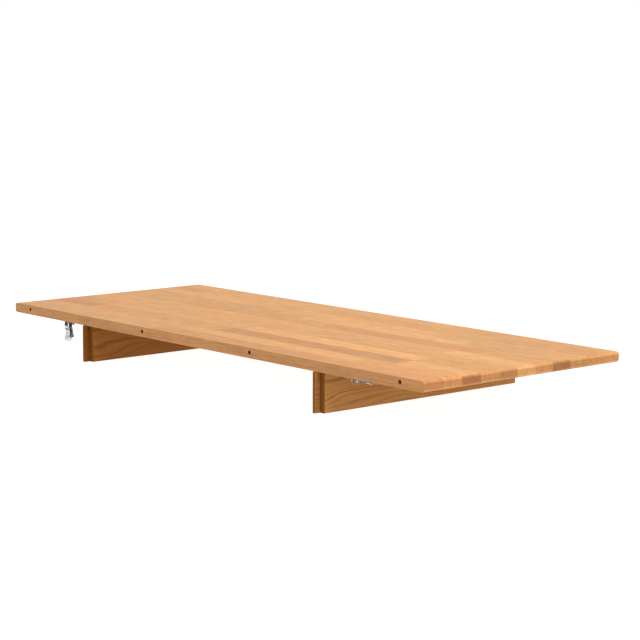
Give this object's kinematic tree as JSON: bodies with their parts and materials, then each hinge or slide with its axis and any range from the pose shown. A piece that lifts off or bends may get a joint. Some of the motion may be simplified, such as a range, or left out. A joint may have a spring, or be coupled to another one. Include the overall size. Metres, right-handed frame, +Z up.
{
  "type": "table extension leaf",
  "caption": "Clip-on end leaf for a dining table: glued oak panel on two upright bearers with rebated tongues, dowel sockets in the flat edge and toggle catches below.",
  "frame": {"origin": "middle of the leaf's bounding box, on the level of the bearers' undersides", "axes": "+X along the leaf, +Y from the flat joint edge towards the rounded outer edge, +Z up to the top face"},
  "size_m": [1.3, 0.504, 0.096],
  "materials": {
    "oak_panel": "oiled, satin",
    "oak_bearer": "oiled, satin",
    "plated_steel": "bright plated",
    "bail_wire": "bright plated",
    "screw_steel": "zinc plated"
  },
  "bodies": {
    "leaf": {"top_panel": "oak_panel", "left_bearer": "oak_bearer", "right_bearer": "oak_bearer", "left_bearer_screw_1": "screw_steel", "left_bearer_screw_2": "screw_steel", "left_bearer_screw_3": "screw_steel", "right_bearer_screw_1": "screw_steel", "right_bearer_screw_2": "screw_steel", "right_bearer_screw_3": "screw_steel", "left_catch_base": "plated_steel", "left_catch_pin": "screw_steel", "left_catch_front_screw": "screw_steel", "left_catch_rear_screw": "screw_steel", "right_catch_base": "plated_steel", "right_catch_pin": "screw_steel", "right_catch_front_screw": "screw_steel", "right_catch_rear_screw": "screw_steel"},
    "left_lever": {"left_catch_lever": "plated_steel"},
    "left_bail": {"left_catch_bail": "bail_wire"},
    "right_lever": {"right_catch_lever": "plated_steel"},
    "right_bail": {"right_catch_bail": "bail_wire"}
  },
  "joints": [
    {"name": "left_lever_hinge", "type": "hinge", "parent": "leaf", "child": "left_lever", "pos_m": [-0.462, -0.2355, 0.0708], "axis": [1, 0, 0], "range_deg": [-40, 80]},
    {"name": "left_bail_hinge", "type": "hinge", "parent": "left_lever", "child": "left_bail", "pos_m": [-0.462, -0.23428, 0.06391], "axis": [-1, 0, 0], "range_deg": [0, 56]},
    {"name": "right_lever_hinge", "type": "hinge", "parent": "leaf", "child": "right_lever", "pos_m": [0.462, -0.2355, 0.0708], "axis": [1, 0, 0], "range_deg": [-120, 0]},
    {"name": "right_bail_hinge", "type": "hinge", "parent": "right_lever", "child": "right_bail", "pos_m": [0.462, -0.2285, 0.0708], "axis": [-1, 0, 0], "range_deg": [0, 56]}
  ]
}
